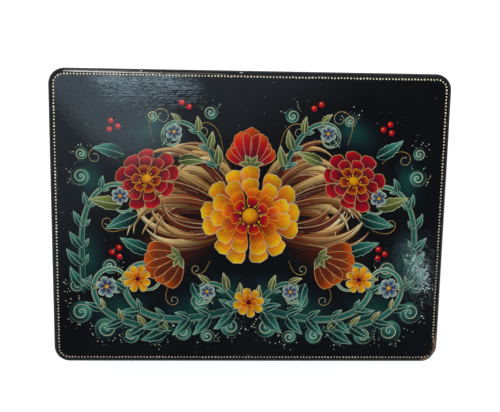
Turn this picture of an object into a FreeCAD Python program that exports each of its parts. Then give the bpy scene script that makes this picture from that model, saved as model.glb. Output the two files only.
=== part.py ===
import FreeCAD, Part
import math
import os

Vector = FreeCAD.Vector

# Lacquer casket of papier-mache, lid closed. Millimetres and degrees.
# The origin is the middle of the underside. +X is right, -Y is the front, +Y the hinge side, +Z up.

# Lid board and bottom board
lid_width = 200.0
lid_depth = 150.0
lid_corner_radius = 8.0
lid_edge_thickness = 4.4
lid_crown = 2.6
lid_top_roll = 2.6
lid_crown_sink = 0.02
lid_under_ease = 0.9
base_thickness = 4.6
base_roll = 2.0
base_under_ease = 0.6
overhang = 2.0

# Wound bands: the walls, the lid's band cut from the same tube, and the inner band with its lip
wall = 5.0
body_height = 32.4
rim_height = 9.0
seam_ease = 0.4
liner_wall = 1.6
lip_height = 3.0
lip_ease = 0.5
lip_gap = 0.3
least_corner_radius = 0.8

# Hinges, let into the back wall at the seam
hinge_inset = 40.0
barrel_radius = 1.6
barrel_setback = 0.2
barrel_clearance = 0.3
knuckle_length = 7.0
knuckle_gap = 0.15
pocket_end_gap = 0.5
pin_radius = 0.6
pin_running_gap = 0.05
pin_stand_out = 0.2
leaf_thickness = 0.8
leaf_seam_gap = 0.05
body_leaf_drop = 9.0
lid_leaf_margin = 1.4

# Rivets through the wall and the leaf
rivet_spacing = 13.0
rivet_height_share = 0.62
shank_radius = 0.75
head_radius = 1.3
head_crown_radius = 0.7
head_height = 0.5

# The lid opens until the bevels along the back of the seam nearly meet
open_angle = 98.0
stop_margin = 2.0

# Cuts run this far past what they cut
overrun = 1.0

# A quadratic patch rises a quarter of the way to its middle pole
middle_pole_shares = 4.0

# Levels and places that follow from the sizes above
seam_z = base_thickness + body_height
panel_z = seam_z + rim_height
wall_width = lid_width - 2 * overhang
wall_depth = lid_depth - 2 * overhang
wall_radius = max(lid_corner_radius - overhang, least_corner_radius)
cavity_width = wall_width - 2 * wall
cavity_depth = wall_depth - 2 * wall
cavity_radius = max(wall_radius - wall, least_corner_radius)

# The lid's band is thinner than the walls by the lip's clearance
rim_inner_width = cavity_width + 2 * lip_gap
rim_inner_depth = cavity_depth + 2 * lip_gap
rim_inner_radius = cavity_radius + lip_gap

# The hinge line lies in the seam, just inside the back wall's outer face
back_y = wall_depth / 2
axis_y = back_y - barrel_radius - barrel_setback
pocket_radius = barrel_radius + barrel_clearance
hinge_length = 3 * knuckle_length + 2 * knuckle_gap
hinge_centers = {"left": hinge_inset - wall_width / 2, "right": wall_width / 2 - hinge_inset}
lid_leaf_reach = rim_height - lid_leaf_margin
bevel_angle = math.radians((open_angle + stop_margin) / 2)


def box_between(corner, opposite):
    """A block given by two opposite corners."""
    low = Vector(*[min(pair) for pair in zip(corner, opposite)])
    high = Vector(*[max(pair) for pair in zip(corner, opposite)])
    size = high - low
    return Part.makeBox(size.x, size.y, size.z, low)


def rounded_block(width, depth, radius, bottom, top):
    """A block centred on the origin, with its four upright edges rounded."""
    block = box_between((-width / 2, -depth / 2, bottom), (width / 2, depth / 2, top))
    middle = (bottom + top) / 2
    upright = [edge for edge in block.Edges if edge.BoundBox.ZMin < middle < edge.BoundBox.ZMax]
    return block.makeFillet(radius, upright)


def edges_above(block, level):
    return [edge for edge in block.Edges if edge.BoundBox.ZMin > level]


def edges_below(block, level):
    return [edge for edge in block.Edges if edge.BoundBox.ZMax < level]


def crowned_slab(width, depth, edge_level, rise, thickness):
    """A slab of even thickness, level along its edges and highest in the middle: one quadratic patch."""
    across = (-width / 2, 0, width / 2)
    along = (-depth / 2, 0, depth / 2)
    poles = [[Vector(x, y, edge_level) for y in along] for x in across]
    poles[1][1] = Vector(0, 0, edge_level + middle_pole_shares * rise)
    patch = Part.BSplineSurface()
    patch.buildFromPolesMultsKnots(poles, [3, 3], [3, 3], [0, 1], [0, 1], False, False, 2, 2)
    return patch.toShape().extrude(Vector(0, 0, -thickness))


def hollow(block, width, depth, radius, bottom, top):
    """Cut a rounded opening right through a band."""
    return block.cut(rounded_block(width, depth, radius, bottom - overrun, top + overrun))


def seam_bevel(side):
    """What the bevel takes off behind the hinge line: side -1 is the walls' half, side 1 the lid's."""
    reach = back_y - axis_y + overrun
    start_x = -wall_width / 2 - overrun
    corners = [
        Vector(start_x, axis_y, seam_z),
        Vector(start_x, axis_y + reach, seam_z),
        Vector(start_x, axis_y + reach, seam_z + side * reach * math.tan(bevel_angle)),
    ]
    outline = Part.makePolygon(corners + corners[:1])
    return Part.Face(outline).extrude(Vector(wall_width + 2 * overrun, 0, 0))


def along_axis(radius, start, end):
    """A cylinder on the hinge line, from one X to another."""
    return Part.makeCylinder(radius, end - start, Vector(start, axis_y, seam_z), Vector(1, 0, 0))


def knuckle_spans(center):
    """Where the three knuckles of a hinge start and end along X."""
    first = center - hinge_length / 2
    pitch = knuckle_length + knuckle_gap
    return [(first + place * pitch, first + place * pitch + knuckle_length) for place in range(3)]


def leaf_blank(center, inner_y, side, reach, gap):
    """A leaf before its knuckles: a plate on the wall's inner face, and the strap to its barrel."""
    start = center - hinge_length / 2
    end = center + hinge_length / 2
    near = seam_z + side * gap
    far = seam_z + side * (leaf_seam_gap + leaf_thickness)
    plate = box_between((start, inner_y, near), (end, inner_y + leaf_thickness, seam_z + side * reach))
    strap = box_between((start, inner_y, near), (end, axis_y, far))
    return plate.fuse(strap)


def rivet_places(center, side, reach):
    """X and Z of the two rivets of a leaf."""
    height = seam_z + side * reach * rivet_height_share
    return [(center - rivet_spacing / 2, height), (center + rivet_spacing / 2, height)]


def rivet_holes(center, side, reach, inner_y):
    """The shanks' room, from inside the leaf to outside the wall."""
    length = back_y - inner_y + 2 * overrun
    holes = [
        Part.makeCylinder(shank_radius, length, Vector(x, inner_y - overrun, z), Vector(0, 1, 0))
        for x, z in rivet_places(center, side, reach)
    ]
    return Part.makeCompound(holes)


def leaf(center, inner_y, side, reach, own, bore_radius):
    """A finished leaf. own lists which of the three knuckles it carries."""
    spans = knuckle_spans(center)
    shape = leaf_blank(center, inner_y, side, reach, leaf_seam_gap)
    for place, (start, end) in enumerate(spans):
        if place not in own:
            shape = shape.cut(along_axis(pocket_radius, start - knuckle_gap, end + knuckle_gap))
    for place in own:
        shape = shape.fuse(along_axis(barrel_radius, *spans[place]))
    shape = shape.cut(along_axis(bore_radius, spans[0][0] - overrun, spans[2][1] + overrun))
    return shape.cut(rivet_holes(center, side, reach, inner_y)).removeSplitter()


def rivets(center, side, reach, inner_y):
    """Two rivets along Y, flush with the leaf inside and with a low head outside the wall."""
    outward = Vector(0, 1, 0)
    solids = []
    for x, z in rivet_places(center, side, reach):
        shank = Part.makeCylinder(shank_radius, back_y - inner_y, Vector(x, inner_y, z), outward)
        head = Part.makeCone(head_radius, head_crown_radius, head_height, Vector(x, back_y, z), outward)
        solids.append(shank.fuse(head))
    return Part.makeCompound(solids)


def hinge_pin(center):
    """The pin, held in the two outer knuckles and standing a little out of them."""
    half = hinge_length / 2 + pin_stand_out
    return along_axis(pin_radius, center - half, center + half)


def hinge_room(center, inner_y, side, reach):
    """Everything that a wall gives up for one hinge: barrel pocket, leaf mortise and rivet holes."""
    half = hinge_length / 2 + pocket_end_gap
    pocket = along_axis(pocket_radius, center - half, center + half)
    mortise = leaf_blank(center, inner_y, side, reach, 0)
    return [pocket, mortise, rivet_holes(center, side, reach, inner_y)]


def base_plate():
    """The bottom board: its edge rolled over above, and just eased where it stands."""
    board = rounded_block(lid_width, lid_depth, lid_corner_radius, 0, base_thickness)
    middle = base_thickness / 2
    board = board.makeFillet(base_roll, edges_above(board, middle))
    return board.makeChamfer(base_under_ease, edges_below(board, middle))


def lid_panel():
    """The pressed lid board: rolled edge, crowned above, and vaulted below inside a flat seat."""
    edge_top = panel_z + lid_edge_thickness
    board = rounded_block(lid_width, lid_depth, lid_corner_radius, panel_z, edge_top)
    middle = panel_z + lid_edge_thickness / 2
    board = board.makeFillet(lid_top_roll, edges_above(board, middle))
    board = board.makeChamfer(lid_under_ease, edges_below(board, middle))
    field = (lid_width - 2 * lid_top_roll, lid_depth - 2 * lid_top_roll)
    sunk = (lid_crown + lid_edge_thickness) / 2
    crown = crowned_slab(*field, edge_top - lid_crown_sink, lid_crown, sunk)
    corner_radius = lid_corner_radius - lid_top_roll
    crown = crown.common(rounded_block(*field, corner_radius, middle, edge_top + lid_crown))
    below = lid_crown + overrun
    vault = crowned_slab(rim_inner_width, rim_inner_depth, panel_z - lid_crown_sink, lid_crown, below)
    return board.fuse(crown).cut(vault)


def body_band():
    """The four walls, one wound tube, with its seam edge eased and its back bevelled."""
    outside = rounded_block(wall_width, wall_depth, wall_radius, base_thickness, seam_z)
    outside = outside.makeChamfer(seam_ease, edges_above(outside, seam_z - seam_ease))
    shape = hollow(outside, cavity_width, cavity_depth, cavity_radius, base_thickness, seam_z)
    shape = shape.cut(seam_bevel(-1))
    for center in hinge_centers.values():
        for room in hinge_room(center, cavity_depth / 2, -1, body_leaf_drop):
            shape = shape.cut(room)
    return shape


def body_liner():
    """The inner band, standing past the seam as the lip that the lid closes over."""
    top = seam_z + lip_height
    outside = rounded_block(cavity_width, cavity_depth, cavity_radius, base_thickness, top)
    inner_radius = max(cavity_radius - liner_wall, least_corner_radius)
    inner_width = cavity_width - 2 * liner_wall
    inner_depth = cavity_depth - 2 * liner_wall
    shape = hollow(outside, inner_width, inner_depth, inner_radius, base_thickness, top)
    return shape.makeChamfer(lip_ease, edges_above(shape, top - lip_ease))


def lid_rim():
    """The lid's band, flush with the walls outside and clear of the lip inside."""
    outside = rounded_block(wall_width, wall_depth, wall_radius, seam_z, panel_z)
    outside = outside.makeChamfer(seam_ease, edges_below(outside, seam_z + seam_ease))
    shape = hollow(outside, rim_inner_width, rim_inner_depth, rim_inner_radius, seam_z, panel_z)
    shape = shape.cut(seam_bevel(1))
    for center in hinge_centers.values():
        for room in hinge_room(center, rim_inner_depth / 2, 1, lid_leaf_reach):
            shape = shape.cut(room)
    return shape


nodes = {
    "base_plate": base_plate(),
    "body_band": body_band(),
    "body_liner": body_liner(),
    "lid_rim": lid_rim(),
    "lid_panel": lid_panel(),
}
for name, center in hinge_centers.items():
    body_inner = cavity_depth / 2
    lid_inner = rim_inner_depth / 2
    bore_radius = pin_radius + pin_running_gap
    nodes["hinge_" + name + "_body_leaf"] = leaf(center, body_inner, -1, body_leaf_drop, (0, 2), pin_radius)
    nodes["hinge_" + name + "_lid_leaf"] = leaf(center, lid_inner, 1, lid_leaf_reach, (1,), bore_radius)
    nodes["hinge_" + name + "_pin"] = hinge_pin(center)
    nodes["hinge_" + name + "_body_rivets"] = rivets(center, -1, body_leaf_drop, body_inner)
    nodes["hinge_" + name + "_lid_rivets"] = rivets(center, 1, lid_leaf_reach, lid_inner)

os.makedirs("parts", exist_ok=True)
for name, shape in nodes.items():
    shape.exportStep(os.path.join("parts", name + ".step"))
    print(name, len(shape.Solids), "solids", round(shape.Volume, 1), "mm3", "valid", shape.isValid())
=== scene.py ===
# %% [markdown]
# # A lacquer casket
#
# A papier-mache casket is layers of glued card, baked hard in oil, under many coats of black lacquer.
# The lid swells up slightly, carries a painted miniature, and has a row of gold dots round its edge.
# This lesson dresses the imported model, piece by piece. First comes the frame, which says where every
# piece is. Nothing in it is moved: the pieces made here are laid over it or stand in for a node of it.

# %% Load the frame
import math
from functools import reduce
import bpy
import bmesh
import numpy as np
from mathutils import Matrix, Vector


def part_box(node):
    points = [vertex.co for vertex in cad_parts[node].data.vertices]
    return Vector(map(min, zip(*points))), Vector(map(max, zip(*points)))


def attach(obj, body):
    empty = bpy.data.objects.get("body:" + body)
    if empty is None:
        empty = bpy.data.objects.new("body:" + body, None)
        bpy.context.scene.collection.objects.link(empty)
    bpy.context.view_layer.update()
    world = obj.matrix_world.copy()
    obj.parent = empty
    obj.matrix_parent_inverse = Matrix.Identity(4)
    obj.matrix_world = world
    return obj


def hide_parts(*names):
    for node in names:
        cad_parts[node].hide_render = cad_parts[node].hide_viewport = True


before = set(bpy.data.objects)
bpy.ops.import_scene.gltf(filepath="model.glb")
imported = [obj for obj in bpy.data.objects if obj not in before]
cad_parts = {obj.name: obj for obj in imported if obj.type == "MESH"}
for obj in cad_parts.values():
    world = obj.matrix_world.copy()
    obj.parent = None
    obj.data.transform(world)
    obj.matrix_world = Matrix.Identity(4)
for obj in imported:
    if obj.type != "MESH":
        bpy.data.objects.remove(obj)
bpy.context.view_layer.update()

mm = 0.001
scene = bpy.context.scene

# %% [markdown]
# ## The sizes that everything follows
#
# Lengths could be typed again here, but then they would drift from the construction. Instead the
# boards and bands are asked for their corners. Only what a box of corners can't tell, such as how far
# an edge is rolled, is written down, in the same sizes as the construction has.

# %% Read the sizes of the boards
lid_low, lid_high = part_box("lid_panel")
base_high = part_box("base_plate")[1]
rim_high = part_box("lid_rim")[1]
liner_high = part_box("body_liner")[1]

corner_radius = 8.0 * mm
lid_edge_thickness = 4.4 * mm
lid_roll = 2.6 * mm
lid_under_ease = 0.9 * mm
base_roll = 2.0 * mm
base_under_ease = 0.6 * mm
wall = 5.0 * mm
lip_gap = 0.3 * mm
inner_corner_radius = 1.3 * mm

edge_z = lid_low.z + lid_edge_thickness
crown_rise = lid_high.z - edge_z
field_half = np.array([lid_high.x - lid_roll, lid_high.y - lid_roll])
vault_half = np.array([rim_high.x - wall + lip_gap, rim_high.y - wall + lip_gap])
print("lid", tuple(round(2 * half / mm, 1) for half in lid_high[:2]), "mm")
print("crown", round(crown_rise / mm, 2), "mm")


def lid_top(x, y):
    """Height of the crowned lid: level along the edge of the field and highest in the middle."""
    across = np.clip(1 - (x / field_half[0]) ** 2, 0, 1)
    along = np.clip(1 - (y / field_half[1]) ** 2, 0, 1)
    return edge_z + crown_rise * across * along


# %% [markdown]
# ## The camera
#
# The photograph looks almost straight down. The edge of the lid and the row of dots were solved
# together for the place, the direction and the lens, so the two pictures can be laid over each other.

# %% Set up the camera
camera_place = Vector((-17.6, 70.27, 435.3)) * mm
looks_along = Vector((0.0449, -0.1603, -0.9861)).normalized()
upward = Vector((-0.0100, 0.9869, -0.1609))
lens_mm, sensor_mm = 55.67, 36.0

rightward = looks_along.cross(upward).normalized()
upward = rightward.cross(looks_along)
turn = Matrix((rightward, upward, -looks_along)).transposed().to_4x4()
camera = bpy.data.objects.new("camera", bpy.data.cameras.new("camera"))
camera.matrix_world = Matrix.Translation(camera_place) @ turn
camera.data.lens = lens_mm
camera.data.sensor_width = sensor_mm
camera.data.clip_start = 0.01
scene.collection.objects.link(camera)
scene.camera = camera
print("camera", round(camera_place.length, 3), "m from the middle of the underside")

# %% [markdown]
# ## Short ways to wire nodes
#
# Every finish below is a small tree of nodes, and so is every Geometry Nodes pattern. A few helpers
# keep them readable: one adds a node with its inputs, and the others do a sum, a ramp or a mix and
# give back its socket. An input is a number, a colour or another node's socket.

# %% Helpers for node trees
def add(tree, kind, inputs=None, **settings):
    """Add a node, set its properties, then fill its inputs by name or by number."""
    node = tree.nodes.new(kind)
    for name, value in settings.items():
        setattr(node, name, value)
    for key, value in (inputs or {}).items():
        if isinstance(value, bpy.types.NodeSocket):
            tree.links.new(value, node.inputs[key])
        else:
            node.inputs[key].default_value = value
    return node


def calc(tree, operation, *terms, clamp=False):
    """One sum on sockets or numbers, as a socket."""
    node = add(tree, "ShaderNodeMath", dict(enumerate(terms)), operation=operation, use_clamp=clamp)
    return node.outputs[0]


def product(tree, *terms):
    """Several numbers or sockets multiplied together, in this order."""
    return reduce(lambda result, term: calc(tree, "MULTIPLY", result, term), terms)


def total(tree, *terms):
    """Several numbers or sockets added up, in this order."""
    return reduce(lambda result, term: calc(tree, "ADD", result, term), terms)


def vector(tree, operation, *terms):
    """One step with vectors, as a socket: a vector, or a number for a length, distance or dot product."""
    outputs = add(tree, "ShaderNodeVectorMath", dict(enumerate(terms)), operation=operation).outputs
    return outputs["Value" if operation in ("LENGTH", "DISTANCE", "DOT_PRODUCT") else "Vector"]


def ramp(tree, value, low, high):
    """0 below low, 1 above high, and smooth between. Works the other way round if low is the larger."""
    return add(tree, "ShaderNodeMapRange", {"Value": value, "From Min": low, "From Max": high},
               interpolation_type="SMOOTHSTEP").outputs[0]


def tinted(tree, factor, first, second):
    """A mix of two colours, each a value or a socket."""
    return add(tree, "ShaderNodeMix", {"Factor": factor, "A": first, "B": second},
               data_type="RGBA").outputs["Result"]


def colour(red, green, blue):
    """A colour as it is read off a screen, from 0 to 255, as the linear colour that shaders take."""
    shares = np.array([red, green, blue]) / 255
    linear = np.where(shares <= 0.04045, shares / 12.92, ((shares + 0.055) / 1.055) ** 2.4)
    return (*[float(v) for v in linear], 1.0)


# %% [markdown]
# ## A light tent with a dark top
#
# Black gloss shows what is around it and hardly any colour of its own. Lacquer is therefore shot in a
# tent with pale sides and a dim top, so that the lid mirrors the dim part and stays black. The world
# is that tent: its brightness depends on how high a direction points, and on how far it leans to the
# window. One soft patch high up glows, and shows in the lid as a pale haze at the upper left. The
# camera's own rays see white.

# %% Build the tent
tent_side = (0.34, 0.34, 0.34, 1)
tent_top_bright = (0.44, 0.54, 0.62, 1)
tent_top_dim = (0.09, 0.10, 0.12, 1)
haze_glow = (1.25, 1.70, 2.00, 1)
toward_window = (-0.6, 0.8, 0.0)
toward_haze = Vector((-0.165, 0.025, 0.986)).normalized()

# Where each change starts and ends: a lean to the window, an angle from the haze, and a height
dim_lean, bright_lean = -0.10, 0.15
haze_edge, haze_core = 0.115, 0.035
side_height, top_height = 0.50, 0.80

world = bpy.data.worlds.new("light_tent")
scene.world = world
world.use_nodes = True
tree = world.node_tree
tree.nodes.clear()
direction = add(tree, "ShaderNodeTexCoord").outputs["Generated"]
lean = ramp(tree, vector(tree, "DOT_PRODUCT", direction, toward_window), dim_lean, bright_lean)
top = tinted(tree, lean, tent_top_dim, tent_top_bright)
near_haze = vector(tree, "DOT_PRODUCT", direction, toward_haze)
near_haze = ramp(tree, near_haze, math.cos(haze_edge), math.cos(haze_core))
top = tinted(tree, near_haze, top, haze_glow)
height = add(tree, "ShaderNodeSeparateXYZ", {0: direction}).outputs["Z"]
tent = tinted(tree, ramp(tree, height, side_height, top_height), tent_side, top)
around = add(tree, "ShaderNodeBackground", {"Color": tent, "Strength": 1.0})
behind = add(tree, "ShaderNodeBackground", {"Color": (1, 1, 1, 1), "Strength": 1.0})
rays = add(tree, "ShaderNodeLightPath")
shown = add(tree, "ShaderNodeMixShader", {0: rays.outputs["Is Camera Ray"], 1: around.outputs[0],
                                          2: behind.outputs[0]})
add(tree, "ShaderNodeOutputWorld", {0: shown.outputs[0]})
scene.view_settings.view_transform = "Standard"
print("tent:", len(tree.nodes), "nodes")

# %% [markdown]
# ## The window, the skylight and a far lamp
#
# A tall window behind the casket, to the left, draws the white line along the rolled edge. Its foot
# and the curtain beside it are dimmer, so the line fades out at its ends. A dim strip of skylight gives
# the grey sheen under that line, and a small lamp far off the pale patch near the right edge. A broad
# fill at the front lights the near side. Area lamps serve for all of them: they are soft, and the
# lacquer mirrors their real outline. Each place is where a mirror on the lid would send the camera's ray.

# %% Hang the lamps
def area_lamp(name, place, aim, width, height, radiance, tint, spin=0.0):
    """A rectangular lamp that faces a point. Its power follows from its size and how bright it looks."""
    lamp = bpy.data.lights.new(name, "AREA")
    lamp.shape = "RECTANGLE"
    lamp.size = width
    lamp.size_y = height
    lamp.energy = radiance * math.pi * width * height
    lamp.color = tint
    holder = bpy.data.objects.new(name, lamp)
    facing = (Vector(aim) - Vector(place)).to_track_quat("-Z", "Y").to_matrix().to_4x4()
    holder.matrix_world = Matrix.Translation(place) @ facing @ Matrix.Rotation(math.radians(spin), 4, "Z")
    holder.visible_camera = False
    scene.collection.objects.link(holder)
    print(name, round(lamp.energy, 2), "W")


lid_middle = (0.0, 0.0, lid_high.z)
daylight = (1.0, 0.99, 0.97)
area_lamp("window", (-0.225, 0.67, 0.85), lid_middle, width=0.15, height=0.55, radiance=14.0, tint=daylight)
area_lamp("window_foot", (-0.225, 0.97, 0.44), lid_middle, width=0.15, height=0.48, radiance=2.6,
          tint=daylight)
area_lamp("curtain", (-0.075, 0.67, 0.85), lid_middle, width=0.15, height=0.55, radiance=1.8,
          tint=(1.0, 0.95, 0.88))
area_lamp("skylight", (-0.15, 0.165, 1.05), (-0.15, 0.165, 0), width=0.19, height=0.03, radiance=8.0,
          tint=(0.58, 0.82, 1.0), spin=19)
area_lamp("far_lamp", (0.456, -0.288, 1.05), lid_middle, width=0.017, height=0.062, radiance=21.0,
          tint=(0.70, 0.91, 1.0), spin=-57)
area_lamp("fill", (0.85, -0.75, 0.55), lid_middle, width=0.7, height=0.5, radiance=2.6,
          tint=(1.0, 0.98, 0.95))

# %% [markdown]
# ## The table
#
# The casket stands on a plain white table. To read as white behind the object and still keep the soft
# shadow, the table is white paint that also glows, but only for rays that look at it, not for light.

# %% Lay the table
table_size = 8.0
table_mesh = bpy.data.meshes.new("table")
half = table_size / 2
table_corners = [(-half, -half, 0), (half, -half, 0), (half, half, 0), (-half, half, 0)]
table_mesh.from_pydata(table_corners, [], [(0, 1, 2, 3)])
table = bpy.data.objects.new("table", table_mesh)
scene.collection.objects.link(table)

table_paint = (0.88, 0.88, 0.88, 1)
seen_glow, mirrored_glow = 0.72, 0.10
table_white = bpy.data.materials.new("table_white")
table_white.use_nodes = True
tree = table_white.node_tree
tree.nodes.clear()
paint = add(tree, "ShaderNodeBsdfDiffuse", {"Color": table_paint})
rays = add(tree, "ShaderNodeLightPath")
mirrored = calc(tree, "MAXIMUM", rays.outputs["Is Glossy Ray"], rays.outputs["Is Transmission Ray"])
strength = total(tree, product(tree, rays.outputs["Is Camera Ray"], seen_glow),
                 product(tree, mirrored, mirrored_glow))
glow = add(tree, "ShaderNodeEmission", {"Color": (1, 1, 1, 1), "Strength": strength})
both = add(tree, "ShaderNodeAddShader", {0: paint.outputs[0], 1: glow.outputs[0]})
add(tree, "ShaderNodeOutputMaterial", {0: both.outputs[0]})
table_mesh.materials.append(table_white)
print("table", table_size, "m wide")

# %% [markdown]
# ## Lacquer
#
# Real lacquer isn't a flat mirror. It is poured and rubbed down by hand, coat after coat, so it has
# a slow swell, a fine orange peel, streaks along the rubbing, nibs where dust was caught, and hairline
# crazing where it has dried out, in small plates that each lean their own way. All of that is height,
# in metres, summed and given to one Bump node. A worn place lets the brown board show, and is read from
# an attribute that each piece may carry. The glint of a small nick in the back edge is painted: a pale
# spot at its own place on the edge, a painted highlight.

# %% Helpers for finishes
def on_object(tree):
    """Object coordinates: a place in metres, in the frame that all the pieces share."""
    return add(tree, "ShaderNodeTexCoord").outputs["Object"]


def object_place(tree, scales):
    """Object coordinates, stretched. A scale is in features per metre."""
    return add(tree, "ShaderNodeMapping", {"Vector": on_object(tree), "Scale": scales}).outputs[0]


def noise(tree, scales, detail=2.0, rough=0.5):
    """Soft noise from 0 to 1 on Object coordinates."""
    place = object_place(tree, scales)
    return add(tree, "ShaderNodeTexNoise", {"Vector": place, "Scale": 1.0, "Detail": detail,
                                            "Roughness": rough}).outputs[0]


spot_core_share = 0.4


def spot(tree, centre, radii):
    """1 round a place on the object, fading to 0 at the given radii."""
    offset = vector(tree, "SUBTRACT", on_object(tree), centre)
    distance = vector(tree, "LENGTH", vector(tree, "DIVIDE", offset, radii))
    return ramp(tree, distance, 1.0, spot_core_share)


def cells(tree, per_metre, feature="F1"):
    """The outputs of a Voronoi pattern, and the scaled place that it reads."""
    place = object_place(tree, (per_metre, per_metre, per_metre))
    voronoi = add(tree, "ShaderNodeTexVoronoi", {"Vector": place, "Scale": 1.0}, feature=feature)
    return voronoi.outputs, place


nib_radius_share = 0.22


def nibs(tree, per_metre, share, height):
    """Small bumps of caught dust: a few of the cells of a Voronoi pattern, each with a dome."""
    grains, _ = cells(tree, per_metre)
    dome = ramp(tree, grains["Distance"], nib_radius_share, 0.0)
    own_number = add(tree, "ShaderNodeSeparateColor", {0: grains["Color"]}).outputs[0]
    return product(tree, dome, calc(tree, "LESS_THAN", own_number, share), height)


# %% The relief of rubbed lacquer
# Each layer's height from its lowest to its highest point, in metres
swell_height, peel_height, streak_height, dash_height, nib_height = 24e-6, 9e-6, 22e-6, 17e-6, 60e-6

# The crazing: its grooves' width as a share of a plate and their depth, and how far a plate leans, in metres
plates_per_metre, groove_share, groove_depth, plate_lean = 1000, 0.06, 2e-6, 15e-6

# The rubbed stretch at the upper left and the crazed one at the lower right: middle and reach in metres
rubbed_middle, rubbed_reach = (-0.052, 0.068, 0.050), (0.058, 0.025, 0.05)
crazed_middle, crazed_reach = (0.0889, -0.027, 0.050), (0.026, 0.040, 0.05)

# How strong the streaks are: the least in the rubbed stretch, how far they rise over that, and elsewhere
rubbed_least, rubbed_swing, rubbed_elsewhere = 0.2, 1.3, 0.08


def crazing(tree):
    """Hairline cracks: small plates that each lean a little their own way, with a groove round each."""
    plates, place = cells(tree, plates_per_metre)
    from_middle = vector(tree, "SUBTRACT", place, plates["Position"])
    own_way = vector(tree, "SUBTRACT", plates["Color"], (0.5, 0.5, 0.5))
    leaning = vector(tree, "DOT_PRODUCT", from_middle, own_way)
    to_edge = cells(tree, plates_per_metre, "DISTANCE_TO_EDGE")[0][0]
    grooves = product(tree, ramp(tree, to_edge, 0.0, groove_share), groove_depth)
    return total(tree, grooves, product(tree, leaning, plate_lean))


def lacquer_relief(tree):
    """The height of the lacquer's surface, in metres, as one Bump normal."""
    uneven = total(tree, product(tree, noise(tree, (60, 170, 170), 1.0), rubbed_swing), rubbed_least)
    rubbed = product(tree, spot(tree, rubbed_middle, rubbed_reach), uneven)
    rubbed = total(tree, rubbed, rubbed_elsewhere)
    height = total(tree, product(tree, noise(tree, (35, 35, 35), 1.0), swell_height),
                   product(tree, noise(tree, (420, 560, 560), 2.0), peel_height),
                   product(tree, noise(tree, (55, 1700, 1700), 2.0), rubbed, streak_height),
                   product(tree, noise(tree, (420, 1800, 1800), 1.0), rubbed, dash_height),
                   product(tree, crazing(tree), spot(tree, crazed_middle, crazed_reach)),
                   nibs(tree, 560, 0.13, nib_height))
    return add(tree, "ShaderNodeBump", {"Height": height, "Strength": 1.0, "Distance": 1.0}).outputs[0]


def finish_named(name):
    """A new material with an empty Principled shader, its tree and that shader."""
    material = bpy.data.materials.new(name)
    material.use_nodes = True
    tree = material.node_tree
    tree.nodes.clear()
    shader = add(tree, "ShaderNodeBsdfPrincipled")
    add(tree, "ShaderNodeOutputMaterial", {0: shader.outputs[0]})
    return material, tree, shader


# %% Black lacquer and red lacquer
# The pale colour of a chip is a painted highlight: the glint of a nick in the edge
dust, chip_glint = colour(120, 130, 138), colour(196, 186, 184)

# Two painted highlights on the back edge of the lid, the glints of small nicks: middle and reach in
# millimetres
edge_chip_glints = (((-5.4, 74.15, 50.2), (1.4, 0.65, 0.9)), ((-54.5, 74.2, 50.2), (1.3, 0.65, 0.9)))


def coat_colour(tree, deep, shallow):
    """The colour of the coats, which lie thicker in some places than in others."""
    return tinted(tree, ramp(tree, noise(tree, (30, 30, 30), 3.0), 0.35, 0.70), deep, shallow)


def lacquer(name, deep, shallow, worn, scuffed, chip_glints=()):
    """Gloss over a colour that varies with the thickness of the coats, with worn places, dust, and pale
    spots painted as the glint of nicks.
    """
    material, tree, shader = finish_named(name)

    # Where the attribute and a grain come high enough together, the board shows
    rubbed = add(tree, "ShaderNodeAttribute", attribute_name="wear").outputs["Fac"]
    grain = noise(tree, (900, 900, 900), 4.0, 0.6)
    bare = ramp(tree, total(tree, rubbed, product(tree, grain, 0.7)), 0.75, 0.95)
    board = tinted(tree, ramp(tree, noise(tree, (520, 520, 520), 4.0, 0.7), 0.46, 0.62), worn, scuffed)
    surface = tinted(tree, bare, coat_colour(tree, deep, shallow), board)
    surface = tinted(tree, nibs(tree, 480, 0.10, 0.9), surface, dust)
    # Each chip is a pale spot, a painted highlight for the glint of a nick
    for place, radii in chip_glints:
        surface = tinted(tree, spot(tree, Vector(place) * mm, Vector(radii) * mm), surface, chip_glint)
    tree.links.new(surface, shader.inputs["Base Color"])

    # The gloss is a little duller in smears, and much duller on bare board
    smear = ramp(tree, noise(tree, (70, 220, 120), 3.0), 0.45, 0.75)
    gloss = total(tree, product(tree, smear, 0.05), 0.045, product(tree, bare, 0.35))
    tree.links.new(gloss, shader.inputs["Roughness"])
    tree.links.new(lacquer_relief(tree), shader.inputs["Normal"])
    return material


worn_brown, scuffed_brown = colour(76, 46, 36), colour(150, 112, 92)
black_coats = (colour(7, 7, 9), colour(14, 14, 18))
red_coats = (colour(152, 21, 16), colour(162, 26, 19))
black_lacquer = lacquer("black_lacquer_rubbed", *black_coats, worn_brown, scuffed_brown, edge_chip_glints)
red_lacquer = lacquer("red_lacquer_rubbed", *red_coats, colour(70, 20, 14), colour(96, 40, 26))
print("lacquer:", len(black_lacquer.node_tree.nodes), "nodes in the black one")

# %% [markdown]
# ## Boards
#
# Both boards are rounded rectangles with a profile swept round them. A subdivided box with a bevel
# would come close, but the crown and the vault follow a formula, so each board is built as rings:
# every ring has the same number of points, and a strip of faces joins it to the next one. The faces
# are of two kinds, 0 for black and 1 for red. Last, each point of the lid is told how worn it is, and
# the corner that was knocked most is pressed in a little.

# %% Helpers for ringed pieces
corner_steps, long_steps, short_steps = 12, 44, 32


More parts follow.
